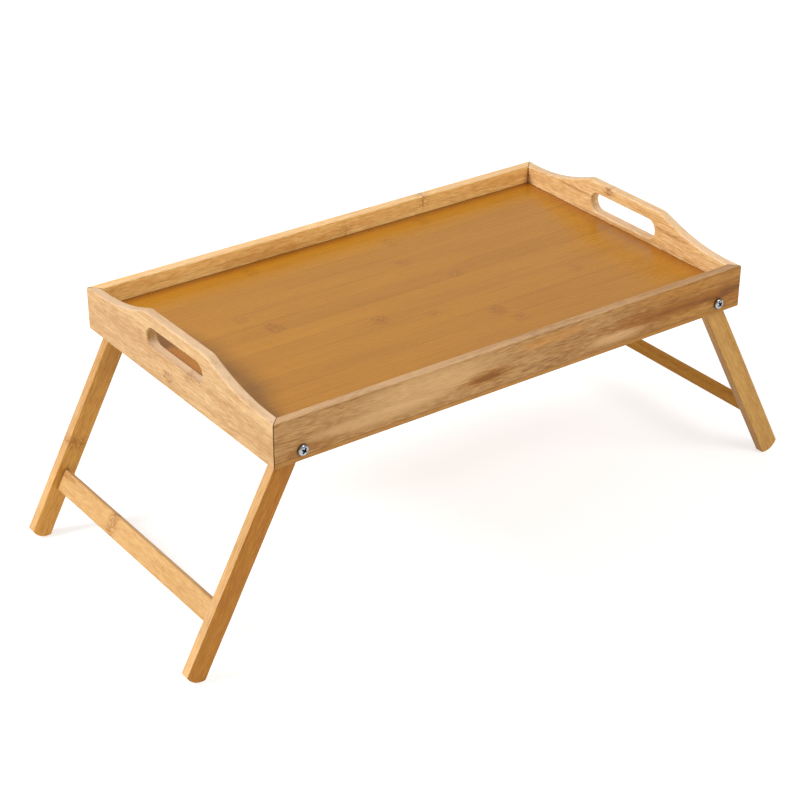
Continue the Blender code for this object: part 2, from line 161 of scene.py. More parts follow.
def flat_solid(name, outlines, thickness):
    """A plate about its own XY plane: the first outline is its edge, and others are holes."""
    curve = bpy.data.curves.new(name, "CURVE")
    curve.dimensions = "2D"
    curve.fill_mode = "BOTH"
    curve.extrude = thickness / 2
    for outline in outlines:
        spline = curve.splines.new("POLY")
        spline.points.add(len(outline) - 1)
        for point, (x, y) in zip(spline.points, outline):
            point.co = (x, y, 0, 1)
        spline.use_cyclic_u = True
    guide = new_object(name + "_outline", curve)
    graph = bpy.context.evaluated_depsgraph_get()
    mesh = bpy.data.meshes.new_from_object(guide.evaluated_get(graph))
    bpy.data.objects.remove(guide)
    bpy.data.curves.remove(curve)
    bm = bmesh.new()
    bm.from_mesh(mesh)
    bmesh.ops.remove_doubles(bm, verts=bm.verts, dist=MERGE)
    bmesh.ops.dissolve_limit(bm, angle_limit=math.radians(0.3), verts=bm.verts, edges=bm.edges)
    bmesh.ops.recalc_face_normals(bm, faces=bm.faces)
    bm.to_mesh(mesh)
    bm.free()
    mesh.name = name
    return new_object(name, mesh)


def block(name, size, centre=(0, 0, 0)):
    mesh = bpy.data.meshes.new(name)
    bm = bmesh.new()
    bmesh.ops.create_cube(bm, size=1.0, matrix=Matrix.Translation(centre) @ Matrix.Diagonal((*size, 1)))
    bm.to_mesh(mesh)
    bm.free()
    return new_object(name, mesh)


def lofted(name, layers):
    """A solid through a pile of outlines with as many points each, given as (height, outline)."""
    mesh = bpy.data.meshes.new(name)
    bm = bmesh.new()
    rings = [[bm.verts.new((x, y, height)) for x, y in outline] for height, outline in layers]
    for lower, upper in zip(rings, rings[1:]):
        for i in range(len(lower)):
            bm.faces.new((lower[i - 1], lower[i], upper[i], upper[i - 1]))
    bm.faces.new(rings[0])
    bm.faces.new(rings[-1])
    bmesh.ops.recalc_face_normals(bm, faces=bm.faces)
    bm.to_mesh(mesh)
    bm.free()
    return new_object(name, mesh)


def turned(name, profile, steps=64, closed=False):
    """A profile of (radius, height) points turned about Z. A closed profile makes a ring."""
    mesh = bpy.data.meshes.new(name)
    bm = bmesh.new()
    points = [bm.verts.new((radius, 0, height)) for radius, height in profile]
    followers = points[1:] + points[:1] if closed else points[1:]
    edges = [bm.edges.new(pair) for pair in zip(points, followers)]
    bmesh.ops.spin(
        bm, geom=points + edges, cent=(0, 0, 0), axis=(0, 0, 1), angle=2 * math.pi, steps=steps,
        use_merge=True,
    )
    bmesh.ops.remove_doubles(bm, verts=bm.verts, dist=MERGE)
    bmesh.ops.recalc_face_normals(bm, faces=bm.faces)
    if bm.calc_volume(signed=True) < 0:
        bmesh.ops.reverse_faces(bm, faces=bm.faces)
    bm.to_mesh(mesh)
    bm.free()
    return new_object(name, mesh)


def trim(obj, point, outward):
    """Cuts obj with a plane and closes it, dropping the side that outward points to."""
    bm = bmesh.new()
    bm.from_mesh(obj.data)
    geometry = bm.verts[:] + bm.edges[:] + bm.faces[:]
    bmesh.ops.bisect_plane(
        bm, geom=geometry, dist=MERGE, plane_co=point, plane_no=outward, clear_outer=True
    )
    rim = [edge for edge in bm.edges if edge.is_boundary]
    bmesh.ops.holes_fill(bm, edges=rim, sides=0)
    bmesh.ops.recalc_face_normals(bm, faces=bm.faces)
    bm.to_mesh(obj.data)
    bm.free()


def round_edges(obj, radius_of):
    """Rounds each edge by radius_of(edge), where 0 leaves it sharp, through one weighted Bevel."""
    bm = bmesh.new()
    bm.from_mesh(obj.data)
    weight = bm.edges.layers.float.new("bevel_weight_edge")
    radii = {edge: radius_of(edge) for edge in bm.edges}
    widest = max(radii.values())
    for edge, radius in radii.items():
        edge[weight] = radius / widest
    bm.to_mesh(obj.data)
    bm.free()
    bevel = obj.modifiers.new("Round edges", "BEVEL")
    bevel.limit_method = "WEIGHT"
    bevel.offset_type = "OFFSET"
    bevel.width = widest
    bevel.segments = ROUND_SEGMENTS
    bevel.use_clamp_overlap = False
    bevel.loop_slide = False
    settle(obj)


def settle(obj):
    """Applies obj's modifiers to its mesh."""
    graph = bpy.context.evaluated_depsgraph_get()
    mesh = bpy.data.meshes.new_from_object(obj.evaluated_get(graph))
    obj.modifiers.clear()
    obj.data = mesh


def cut(obj, other):
    """Cuts other out of obj, and drops other."""
    boolean = obj.modifiers.new("Cut", "BOOLEAN")
    boolean.operation = "DIFFERENCE"
    boolean.solver = "EXACT"
    boolean.object = other
    settle(obj)
    bpy.data.objects.remove(other)


def clean(obj):
    """Merges the specks that Booleans leave behind."""
    bm = bmesh.new()
    bm.from_mesh(obj.data)
    bmesh.ops.remove_doubles(bm, verts=bm.verts, dist=MERGE)
    bmesh.ops.dissolve_degenerate(bm, edges=bm.edges, dist=MERGE)
    bm.to_mesh(obj.data)
    bm.free()


def smooth(obj):
    """Shades obj smooth, except across its sharper edges, with its flat faces kept flat."""
    obj.data.shade_smooth()
    obj.data.set_sharp_from_angle(angle=math.radians(32))
    weighted = obj.modifiers.new("Flat faces", "WEIGHTED_NORMAL")
    weighted.weight = 100
    weighted.keep_sharp = True


def is_corner(edge):
    """Whether an edge is sharp, and not a step of a curve."""
    return len(edge.link_faces) == 2 and edge.calc_face_angle(0) > math.radians(60)


def on_rim(edge, face_z):
    """Whether an edge lies in the face at that height."""
    return all(abs(vert.co.z - face_z) < MERGE for vert in edge.verts)


def paint(obj, material):
    obj.data.materials.clear()
    obj.data.materials.append(material)


def stand_in_for(obj, node, material):
    """obj takes the place of that CAD node, on its body, with its own material."""
    settle(obj)
    clean(obj)
    smooth(obj)
    settle(obj)
    paint(obj, material)
    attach(obj, frame["nodes"][node]["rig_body"])
    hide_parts(node)


# ---------------------------------------------------------------- shader nodes
class Nodes:
    """Adds nodes to a material, joined up as they are made."""

    def __init__(self, name):
        self.material = bpy.data.materials.new(name)
        self.material.use_nodes = True
        self.tree = self.material.node_tree
        self.shader = self.tree.nodes["Principled BSDF"]

    def put(self, socket, value):
        if isinstance(value, bpy.types.NodeSocket):
            self.tree.links.new(value, socket)
        else:
            socket.default_value = value

    def new(self, kind, inputs=None, output=0, **settings):
        node = self.tree.nodes.new("ShaderNode" + kind)
        for key, value in settings.items():
            setattr(node, key, value)
        for key, value in (inputs or {}).items():
            self.put(node.inputs[key], value)
        return node.outputs[output]

    def math(self, operation, *values, clamp=False):
        inputs = dict(enumerate(values))
        return self.new("Math", inputs, operation=operation, use_clamp=clamp)

    def vector(self, operation, *values):
        return self.new("VectorMath", dict(enumerate(values)), operation=operation)

    def xyz(self, x, y, z):
        return self.new("CombineXYZ", {0: x, 1: y, 2: z})

    def split(self, vector):
        node = self.tree.nodes.new("ShaderNodeSeparateXYZ")
        self.put(node.inputs[0], vector)
        return node.outputs[0], node.outputs[1], node.outputs[2]

    def ramp(self, value, low, high, to_low=0.0, to_high=1.0):
        """An eased step from to_low, where value is low, to to_high, where it is high."""
        inputs = {"Value": value, 1: low, 2: high, 3: to_low, 4: to_high}
        return self.new("MapRange", inputs, interpolation_type="SMOOTHSTEP")

    def total(self, *values):
        result = values[0]
        for value in values[1:]:
            result = self.math("ADD", result, value)
        return result

    def centred(self, value, width):
        """A value from 0 to 1, moved to lie about 0 and made that wide."""
        return self.math("MULTIPLY", self.math("SUBTRACT", value, 0.5), width)

    def noise(self, vector, scale=1.0, detail=2.0, roughness=0.5):
        inputs = {"Vector": vector, "Scale": scale, "Detail": detail, "Roughness": roughness}
        return self.new("TexNoise", inputs)

    def grain(self, vector, along, across, detail=2.0, roughness=0.5):
        """Noise with so many spots to the metre along X and across it."""
        stretched = self.vector("MULTIPLY", vector, (along, across, across))
        return self.noise(stretched, 1.0, detail, roughness)

    def mix(self, factor, a, b):
        node = self.tree.nodes.new("ShaderNodeMix")
        node.data_type = "RGBA"
        self.put(node.inputs[0], factor)
        self.put(node.inputs[6], a)
        self.put(node.inputs[7], b)
        return node.outputs[2]

    def between(self, tone, pair):
        """The darker colour of a (light, dark) pair where tone is 0, and the lighter where it is 1."""
        light, dark = pair
        return self.mix(tone, rgb(*dark), rgb(*light))

    def bump(self, height, distance):
        return self.new("Bump", {"Height": height, "Distance": distance, "Strength": 1.0})

    def finish(self, colour, roughness, normal=None, sockets=None):
        self.put(self.shader.inputs["Base Color"], colour)
        self.put(self.shader.inputs["Roughness"], roughness)
        if normal is not None:
            self.put(self.shader.inputs["Normal"], normal)
        for name, value in (sockets or {}).items():
            self.put(self.shader.inputs[name], value)
        return self.material


def rgb(red, green, blue):
    """A colour given as display values from 0 to 255, as linear light."""
    linear = []
    for value in (red, green, blue):
        value /= 255
        linear.append(value / 12.92 if value <= 0.04045 else ((value + 0.055) / 1.055) ** 2.4)
    return (*linear, 1.0)


# ---------------------------------------------------------------- bamboo
# Colours are display values from 0 to 255. A pair is (light, dark).
FIBRE_BROWN = (112, 62, 20)
RING_BROWN = (128, 70, 22)
JOINT_BROWN = (84, 46, 16)
# Pale colour painted on upward faces as painted sheen.
SHEEN_PALE = (210, 180, 150)
# Colours of the panel's darkened rim: a dark joint line with painted contact shadow, and a brown band of
# painted shade.
JOINT_SHADOW_DARK, RIM_SHADE_BROWN = (112, 60, 4), (150, 82, 0)
# Darker cane colours, also painted on the back left leg as painted shade.
BROWN_CANE_AND_SHADE = ((168, 117, 44), (118, 70, 14))
ORANGE_LAYER = ((174, 120, 44), (142, 92, 24))
# Each kind of patch has its colour and how ragged its rim is.
PATCHES = {
    "glow": ((190, 126, 44), 3.0),
    "stain": ((138, 82, 10), 4.0),
    "burn": ((92, 50, 12), 4.0),
    "pale": ((218, 176, 122), 3.0),
}
SEED_STEP = Vector((0.37, 0.11, 0.73))  # how far one seed moves a piece through the noise


def ring_marks(n, x, y, seeded, knots):
    """The line and the halo of the cane's growth rings, each from 0 to 1."""
    line, halo = 0.0, 0.0
    wobble = n.centred(n.grain(seeded, 60.0, 260.0, detail=3.0, roughness=0.6), 0.009)
    ragged = n.centred(n.grain(seeded, 150.0, 420.0), 2.2)
    for knot_x, knot_y, half_width, strength in knots:
        along = n.math("SUBTRACT", x, knot_x)
        across = n.math("ABSOLUTE", n.math("SUBTRACT", y, knot_y))
        inside = n.ramp(across, 0.8 * half_width, 1.1 * half_width + 0.0005, strength, 0.0)
        ring = n.math("ABSOLUTE", n.math("ADD", along, wobble))
        line = n.math("MAXIMUM", line, n.math("MULTIPLY", n.ramp(ring, 0.0002, 0.0014, 1.0, 0.0), inside))
        long = n.math("POWER", n.math("DIVIDE", n.math("ABSOLUTE", along), 0.0085), 2.0)
        wide = n.math("POWER", n.math("DIVIDE", across, 0.95 * half_width), 4.0)
        halo = n.math("MAXIMUM", halo, n.ramp(n.total(long, wide, ragged), 0.0, 1.5, strength, 0.0))
    return line, halo


def patch(n, x, y, place, noise, ragged):
    """1 in the middle of an oval patch, falling to 0 at its ragged rim."""
    centre_x, centre_y, length, width, strength = place
    along = n.math("DIVIDE", n.math("SUBTRACT", x, centre_x), length)
    across = n.math("DIVIDE", n.math("SUBTRACT", y, centre_y), width)
    far = n.total(n.math("MULTIPLY", along, along), n.math("MULTIPLY", across, across))
    return n.ramp(n.total(far, n.centred(noise, ragged)), 0.0, 1.3, strength, 0.0)


def laminate(n, y, seeded, seed, width, shift):
    """The tone of each strip of the laminate, and its seams, which show here and there."""
    strip = n.math("ADD", n.math("DIVIDE", y, width), 0.5 + shift)
    tone = n.new("TexWhiteNoise", {"Vector": n.xyz(n.math("FLOOR", strip), seed, 0.0)})
    part = n.math("FRACT", strip)
    to_seam = n.math("MULTIPLY", n.math("MINIMUM", part, n.math("SUBTRACT", 1.0, part)), width)
    shown = n.ramp(n.grain(seeded, 12.0, 30.0, detail=1.0), 0.40, 0.58)
    return tone, n.math("MULTIPLY", n.ramp(to_seam, 0.0001, 0.0007, 1.0, 0.0), shown)


def fibre_dashes(n, fibres, seeded):
    """Fibre bundles that show as short dashes, in some places more than in others."""
    cells = n.tree.nodes.new("ShaderNodeTexVoronoi")
    n.put(cells.inputs["Vector"], n.vector("MULTIPLY", fibres, (70.0, 820.0, 820.0)))
    n.put(cells.inputs["Scale"], 1.0)
    crowd = n.centred(n.grain(seeded, 11.0, 60.0), 1.6)
    chosen = n.ramp(n.total(n.split(cells.outputs["Color"])[0], crowd), 0.55, 0.85)
    return n.math("MULTIPLY", n.ramp(cells.outputs["Distance"], 0.08, 0.48, 1.0, 0.0), chosen)


def bamboo(
    name,
    seed,
    light,
    dark,
    fibre=FIBRE_BROWN,
    strip=0.020,
    strip_shift=0.0,
    strip_change=0.10,
    seams=0.25,
    streaks=0.8,
    shares=(0.9, 1.1, 2.0, 1.2),
    dashes=0.25,
    knots=(),
    knot_line=0.6,
    knot_colour=RING_BROWN,
    patches=(),
    painted_side_light=None,
    layer=None,
    shade=None,
    mitre=None,
    rim_shade=None,
    painted_sheen=0.0,
    roughness=0.42,
    specular=0.2,
):
    """Lacquered bamboo laminate, its grain along X of the piece's own frame.

    seed picks the piece's own grain, and light and dark are the ends of its tone. strip is the width
    of the laminate's strips across Y. streaks is the strength of the streaks in their tone, and
    shares those of the cloudy, the broad, the fine and the finest of them. Each knot
    is (x, y, half width, strength): a growth ring of the cane across one strip. Each patch is
    (kind, x, y, length, width, strength), drawn out along the grain. painted_side_light is a pair of
    colours painted on a piece's narrow sides, which face along Y, so that they stand lighter or darker
    than its broad faces as painted light and painted shade. layer is the height of an orange bottom
    layer. shade is (start, end, strength) of a length painted darker brown: the cane's own darker length
    on the front rail, and painted shade at the upper end of the back left leg, where the tray shades it.
    mitre is the half length of a board whose mitred ends show a dark joint. rim_shade is the half length
    and the half width inside which a panel's rim is darkened where it meets the boards: a narrow dark
    line, partly a dark joint and partly painted contact shadow, and a wider brown band of painted shade.
    painted_sheen is how strongly upward faces are painted pale, as painted sheen on them.
    """
    n = Nodes(name)
    place = n.new("TexCoord", output="Object")
    seeded = n.vector("ADD", place, seed * SEED_STEP)
    sx, sy, sz = n.split(seeded)
    x, y, z = n.split(place)

    # The fibres wander a little from side to side, and bunch up at a growth ring.
    ring_line, ring_halo = ring_marks(n, x, y, seeded, knots)
    drift = n.centred(n.grain(seeded, 7.0, 22.0, detail=1.0), 0.0045)
    swirl = n.math("MULTIPLY", n.centred(n.grain(seeded, 160.0, 260.0), 0.006), ring_halo)
    shift = n.total(drift, swirl)
    fibres = n.xyz(sx, n.total(sy, shift), n.total(sz, shift))

    # The tone changes from strip to strip, and along each in streaks of four widths.
    strip_tone, seam = laminate(n, y, seeded, seed, strip, strip_shift)
    cloud = n.grain(fibres, 9.0, 38.0, detail=3.0, roughness=0.6)
    broad = n.grain(fibres, 6.0, 150.0, detail=4.0, roughness=0.6)
    fine = n.grain(fibres, 80.0, 640.0, detail=3.0, roughness=0.65)
    hair = n.grain(fibres, 120.0, 1900.0, detail=1.0)
    tone = n.centred(strip_tone, 2 * strip_change)
    for noise, share in zip((cloud, broad, fine, hair), shares):
        tone = n.total(tone, n.centred(noise, share * streaks))
    tone = n.math("ADD", tone, 0.5, clamp=True)
    colour = n.between(tone, (light, dark))
    facing = n.split(n.new("TexCoord", output="Normal"))[1]
    # Painted light and shade: the narrow sides facing along Y take their own colour pair, lighter or
    # darker than the broad faces as the lamps would light them.
    if painted_side_light:
        painted_side_mask = n.ramp(n.math("ABSOLUTE", facing), 0.60, 0.85)
        colour = n.mix(painted_side_mask, colour, n.between(tone, painted_side_light))
    dash = fibre_dashes(n, fibres, seeded)
    colour = n.mix(n.math("MULTIPLY", dash, dashes), colour, rgb(*fibre))
    colour = n.mix(n.math("MULTIPLY", seam, seams), colour, rgb(*fibre))

    # What marks only some pieces, painted light and shade among them, lies over that, in this order.
    # A darker brown length: on the front rail the cane's own darker length, on the back left leg painted
    # shade where the tray above shades its upper end.
    if shade:
        start, end, strength = shade
        darker_length = n.ramp(n.total(x, n.centred(cloud, 0.06)), start, end, 0.0, strength)
        colour = n.mix(darker_length, colour, n.between(tone, BROWN_CANE_AND_SHADE))
    drawn = n.total(n.math("MULTIPLY", broad, 0.45), n.math("MULTIPLY", fine, 0.55))
    for kind, *spot in patches:
        tint, ragged = PATCHES[kind]
        colour = n.mix(patch(n, x, n.total(y, drift), spot, drawn, ragged), colour, rgb(*tint))
    if layer is not None:
        level = n.total(y, n.math("MULTIPLY", drift, 0.15))
        below = n.ramp(level, layer - 0.0003, layer + 0.0003, 0.65, 0.0)
        edge = n.ramp(n.math("ABSOLUTE", n.math("SUBTRACT", level, layer)), 0.0002, 0.0006, 0.5, 0.0)
        colour = n.mix(below, colour, n.between(fine, ORANGE_LAYER))
        colour = n.mix(edge, colour, rgb(*fibre))
    # Painted sheen: upward faces are painted pale and patchy, standing in for the lacquer's sheen on
    # them.
    if painted_sheen:
        patchy_sheen = n.ramp(broad, 0.30, 0.62, 0.45, 1.0)
        pale = n.math("MULTIPLY", n.ramp(facing, 0.35, 0.9, 0.0, painted_sheen), patchy_sheen)
        colour = n.mix(pale, colour, rgb(*SHEEN_PALE))
    # Painted shade round the panel's rim where it meets the boards: a narrow dark line, partly a dark
    # joint and partly painted contact shadow, then a wider brown band of painted shade.
    if rim_shade:
        half_length, half_width = rim_shade
        to_end = n.math("SUBTRACT", half_length, n.math("ABSOLUTE", x))
        to_side = n.math("SUBTRACT", half_width, n.math("ABSOLUTE", y))
        to_edge = n.total(n.math("MINIMUM", to_end, to_side), n.centred(broad, 0.003))
        colour = n.mix(n.ramp(to_edge, 0.0004, 0.0040, 0.85, 0.0), colour, rgb(*JOINT_SHADOW_DARK))
        colour = n.mix(n.ramp(to_edge, 0.0020, 0.0200, 0.55, 0.0), colour, rgb(*RIM_SHADE_BROWN))
    if mitre:
        from_end = n.math("SUBTRACT", mitre - BOARD / 2, n.math("ABSOLUTE", x))
        colour = n.mix(n.ramp(n.total(from_end, z), 0.0003, 0.0009, 0.62, 0.0), colour, rgb(*JOINT_BROWN))
    if knots:
        speck = n.ramp(n.grain(fibres, 260.0, 620.0, roughness=0.7), 0.46, 0.58)
        halo = n.math("MULTIPLY", ring_halo, n.total(n.math("MULTIPLY", speck, 0.55), 0.06))
        colour = n.mix(halo, colour, rgb(*knot_colour))
        colour = n.mix(n.math("MULTIPLY", ring_line, knot_line), colour, rgb(*knot_colour))

    parts = ((fine, 0.6), (hair, 0.3), (dash, -0.5), (seam, -0.4))
    height = n.total(*(n.math("MULTIPLY", value, share) for value, share in parts))
    gloss = n.total(n.centred(fine, 0.16), roughness)
    gloss = n.math("ADD", gloss, n.math("MULTIPLY", dash, 0.08), clamp=True)
    return n.finish(colour, gloss, n.bump(height, 0.00004), {"Specular IOR Level": specular})


# ---------------------------------------------------------------- metal and nylon
def plated(name, colour, roughness, seed, recess=False):
    """Bright zinc plate with faint turning marks and handling haze; with recess, a screw's recess is
    painted dark as painted shade, and its head's rim as a painted dark reflection.
    """
    n = Nodes(name)
    place = n.new("TexCoord", output="Object")
    seeded = n.vector("ADD", place, (seed, 0.3 * seed, 0.7 * seed))
    haze = n.noise(seeded, scale=900.0, detail=4.0, roughness=0.6)
    grain = n.noise(seeded, scale=9000.0, detail=2.0)
    tint = n.mix(n.ramp(haze, 0.35, 0.7), rgb(*colour), rgb(*(0.82 * value for value in colour)))
    rough = n.ramp(haze, 0.3, 0.75, roughness, roughness + 0.14)
    if recess:
        x, y, z = n.split(place)
        radius = n.math("SQRT", n.math("ADD", n.math("MULTIPLY", x, x), n.math("MULTIPLY", y, y)))
        share = n.math("DIVIDE", radius, HEAD_RADIUS)
        dome = n.math("SQRT", n.math("SUBTRACT", 1.0, n.math("MULTIPLY", share, share)), clamp=True)
        dome = n.math("ADD", n.math("MULTIPLY", dome, HEAD_DOME), HEAD_HEIGHT - HEAD_DOME)
        # Painted shade: the cross recess is painted near black, more so the further it lies below the
        # dome.
        recess_shade_mask = n.ramp(n.math("SUBTRACT", dome, z), 0.00010, 0.00045)
        recess_shade_mask = n.math("MULTIPLY", recess_shade_mask, n.ramp(share, 0.62, 0.72, 1.0, 0.0))
        # Painted dark reflection round the head's rounded rim.
        rim = n.ramp(share, 0.82, 0.97, 0.0, 0.62)
        tint = n.mix(n.math("MAXIMUM", recess_shade_mask, rim), tint, rgb(52, 54, 56))
    return n.finish(tint, rough, n.bump(grain, 0.000004), {"Metallic": 1.0})


def nylon(name, colour):
    n = Nodes(name)
    place = n.new("TexCoord", output="Object")
    mottle = n.noise(place, scale=700.0, detail=3.0)
    tint = n.mix(mottle, rgb(*colour), rgb(*(0.90 * value for value in colour)))
    rough = n.ramp(mottle, 0.3, 0.7, 0.42, 0.55)
    return n.finish(tint, rough, n.bump(mottle, 0.00001))


# Colour pairs painted on the legs' narrow sides: painted light on the left legs' sides, which face the
# key lamp, and painted shade on the right legs' sides.
LIT_SIDE_PAINT = ((212, 168, 118), (184, 140, 78))
SHADED_SIDE_PAINT = ((172, 126, 58), (146, 100, 36))
LEG_GRAIN = {"strip": 0.0200, "streaks": 0.95}
BAMBOO = {
    "front_rail": bamboo(
        "front_rail_bamboo", 1.0, (181, 139, 85), (138, 92, 43), strip=0.030, strip_shift=0.17,
        layer=-0.0155, mitre=TRAY_LENGTH / 2, streaks=1.1, dashes=0.50, painted_sheen=0.30,
        shade=(0.050, 0.180, 0.85),
        patches=(
            ("pale", -0.100, 0.008, 0.080, 0.014, 0.40), ("pale", -0.150, -0.005, 0.070, 0.007, 0.40),
            ("pale", 0.105, -0.008, 0.035, 0.006, 0.45), ("glow", 0.030, 0.012, 0.045, 0.006, 0.40),
            ("glow", 0.180, 0.014, 0.060, 0.005, 0.25),
            ("stain", -0.036, -0.003, 0.034, 0.008, 0.90), ("stain", 0.050, -0.002, 0.045, 0.006, 0.35),
            ("stain", 0.170, 0.000, 0.095, 0.008, 0.85), ("stain", 0.180, -0.001, 0.045, 0.004, 0.60),
            ("stain", 0.236, -0.003, 0.032, 0.012, 0.95), ("stain", 0.228, 0.000, 0.026, 0.006, 0.60),
            ("stain", -0.215, -0.011, 0.045, 0.0045, 0.45),
            ("burn", 0.237, 0.001, 0.016, 0.0045, 0.55), ("burn", 0.222, -0.003, 0.030, 0.0020, 0.50),
            ("burn", -0.036, -0.003, 0.020, 0.0040, 0.40), ("burn", 0.175, -0.001, 0.050, 0.0020, 0.35),
        ),
    ),
    # The back rail's base colours are lighter than the front rail's, as painted light on its inner face.
    "back_rail": bamboo(
        "back_rail_bamboo", 2.0, (249, 206, 130), (215, 160, 88), strip=0.030, strip_shift=0.17,
        layer=-0.0155, mitre=TRAY_LENGTH / 2, painted_sheen=0.5, streaks=1.2,
        patches=(("glow", 0.060, 0.006, 0.080, 0.006, 0.4),),
        knots=((-0.110, 0.0156, 0.007, 0.7), (-0.019, 0.008, 0.005, 0.5)),
    ),
    "left_end_board": bamboo(
        "left_end_board_bamboo", 3.0, (198, 161, 111), (169, 125, 73), strip=0.0225, strip_shift=0.10,
        mitre=TRAY_WIDTH / 2, knot_line=0.2, painted_sheen=0.7, streaks=1.3, dashes=0.45,
        knots=((-0.012, 0.0115, 0.006, 1.1), (0.0215, 0.0235, 0.005, 0.8)),
    ),
    # The right end board's base colours are lighter than the left end board's, as painted light on its
    # inner face.
    "right_end_board": bamboo(
        "right_end_board_bamboo", 4.0, (238, 200, 145), (201, 154, 95), strip=0.0225,
        strip_shift=0.10, mitre=TRAY_WIDTH / 2, knot_line=0.3, painted_sheen=0.7, streaks=1.2,
        knots=((0.020, 0.054, 0.004, 1.3),),
        patches=(
            ("stain", 0.065, 0.042, 0.030, 0.0025, 0.45), ("stain", -0.065, 0.041, 0.030, 0.0025, 0.45),
            ("stain", 0.000, 0.025, 0.100, 0.0030, 0.30),
        ),
    ),
    "leg_front_left": bamboo(
        "leg_front_left_bamboo", 5.0, (171, 114, 33), (142, 83, 16), painted_side_light=LIT_SIDE_PAINT, **LEG_GRAIN,
    ),
    # Its upper end is painted darker, as painted shade from the tray above.
    "leg_back_left": bamboo(
        "leg_back_left_bamboo", 6.0, (214, 160, 75), (180, 120, 45), painted_side_light=LIT_SIDE_PAINT, **LEG_GRAIN,
        knots=((0.122, 0.0, 0.012, 0.8),), knot_line=0.4, shade=(0.100, 0.030, 0.45),
    ),
    "leg_front_right": bamboo(
        "leg_front_right_bamboo", 7.0, (189, 145, 75), (160, 111, 44), painted_side_light=SHADED_SIDE_PAINT, **LEG_GRAIN,
    ),
    "leg_back_right": bamboo(
        "leg_back_right_bamboo", 8.0, (194, 149, 79), (163, 116, 47), painted_side_light=SHADED_SIDE_PAINT, **LEG_GRAIN,
        knots=((0.150, 0.0, 0.012, 1.0),),
    ),
    "left_cross_bar": bamboo(
        "left_cross_bar_bamboo", 9.0, (201, 161, 106), (176, 130, 73), strip=0.0240, streaks=0.9,
        knot_line=0.5, knots=((-0.036, 0.0, 0.012, 1.0),),
        patches=(("stain", -0.120, 0.006, 0.020, 0.003, 0.4),),
    ),
    # The right cross bar's top is painted lighter, as painted light on a face that lies in the tray's
    # shade.
    "right_cross_bar": bamboo(
        "right_cross_bar_bamboo", 10.0, (174, 125, 60), (146, 98, 38), strip=0.0240, streaks=0.8,
        knots=((-0.045, 0.0, 0.012, 0.6),), specular=0.0, painted_side_light=((188, 138, 68), (158, 108, 44)),
    ),
    "bottom_panel": bamboo(
        "bottom_panel_bamboo", 11.0, (181, 123, 20), (150, 93, 10), fibre=(110, 56, 8), strip=0.0222,
        strip_shift=0.113, strip_change=0.08, seams=0.35, streaks=0.32, shares=(1.3, 1.3, 1.0, 0.6),
        dashes=0.16, roughness=0.27, specular=0.62, knot_line=0.10, knot_colour=(122, 62, 8),
        rim_shade=(TRAY_LENGTH / 2 - BOARD, TRAY_WIDTH / 2 - BOARD),
        knots=(
            (-0.140, 0.017, 0.010, 0.9), (-0.157, 0.046, 0.007, 0.6), (-0.058, -0.024, 0.009, 0.8),
            (-0.012, -0.041, 0.007, 0.6), (0.052, 0.013, 0.007, 0.7), (0.037, -0.068, 0.010, 1.0),
            (0.047, -0.090, 0.008, 0.7), (0.150, -0.041, 0.009, 0.5), (0.027, 0.059, 0.008, 0.6),
            (0.043, 0.104, 0.010, 0.6), (-0.097, 0.124, 0.009, 0.6), (0.097, 0.126, 0.009, 0.6),
        ),
    ),
    "corner_key": bamboo(
        "corner_key_bamboo", 12.0, (206, 160, 108), (176, 124, 74), strip=0.0100, roughness=0.6,
    ),
}
SCREW_ZINC = plated("screw_zinc", (176, 179, 182), 0.08, 1.0, recess=True)
NUT_ZINC = plated("nut_zinc", (196, 200, 206), 0.20, 2.0)
WASHER_ZINC = plated("washer_zinc", (190, 194, 200), 0.24, 3.0)
NYLON = nylon("washer_nylon", (226, 224, 214))


# ---------------------------------------------------------------- tray
def board_radius(edge):
    """Edge radii of an upright board drawn flat: Y is its height, and +Z faces out of the tray."""
    outer = on_rim(edge, BOARD / 2)
    inner = on_rim(edge, -BOARD / 2)
    if not is_corner(edge) or not (outer or inner):
        return 0
    if abs(edge.verts[0].co.x - edge.verts[1].co.x) < MERGE:
        at_tip = abs(edge.verts[0].co.x) > TRAY_WIDTH / 2 - BOARD / 2
        return MITRE_ROUND if outer and at_tip else 0
    if max(vert.co.y for vert in edge.verts) < MERGE:
        return BOTTOM_ROUND
    return TOP_OUTER_ROUND if outer else TOP_INNER_ROUND


def slot_tool():
    """Cuts a hand slot whose rims are rounded on both faces of the board."""
    steps = 8
    rounds = [math.radians(90 * step / steps) for step in range(steps + 1)]
    edge = BOARD / 2 - SLOT_ROUND
    upper = [(edge + SLOT_ROUND * math.sin(a), SLOT_ROUND * (1 - math.cos(a))) for a in rounds]
    upper.append((BOARD, SLOT_ROUND))
    lower = [(-height, swell) for height, swell in reversed(upper)]
    return lofted("slot", [(height, slot_outline(swell)) for height, swell in lower + upper])


def finish_board(board, length, angle, x, y, keys):
    """Mitres, rounds and stands a board that is drawn flat, then grooves it for panel and keys."""
    for end in (-1, 1):
        tip = (end * (length / 2 - GAP / math.sqrt(2)), 0, BOARD / 2)
        trim(board, tip, (end, 0, -1))
    round_edges(board, board_radius)
    stand = Matrix.Translation((x, y, RAIL_BOTTOM)) @ Matrix.Rotation(angle, 4, "Z")
    stand = stand @ Matrix.Rotation(math.radians(90), 4, "X")
    board.matrix_world = stand
    bpy.context.view_layer.update()
    panel = PANEL_HIGH - PANEL_LOW
    groove = block("groove", with_gaps(panel.x, panel.y, TONGUE))
    groove.location = (PANEL_LOW + PANEL_HIGH) / 2
    cut(board, groove)
    for place, turn in keys:
        slot = block("key_slot", with_gaps(KEY_WIDTH, KEY_THICKNESS, KEY_HEIGHT))
        slot.location = place
        slot.rotation_euler = (0, 0, turn)
        cut(board, slot)


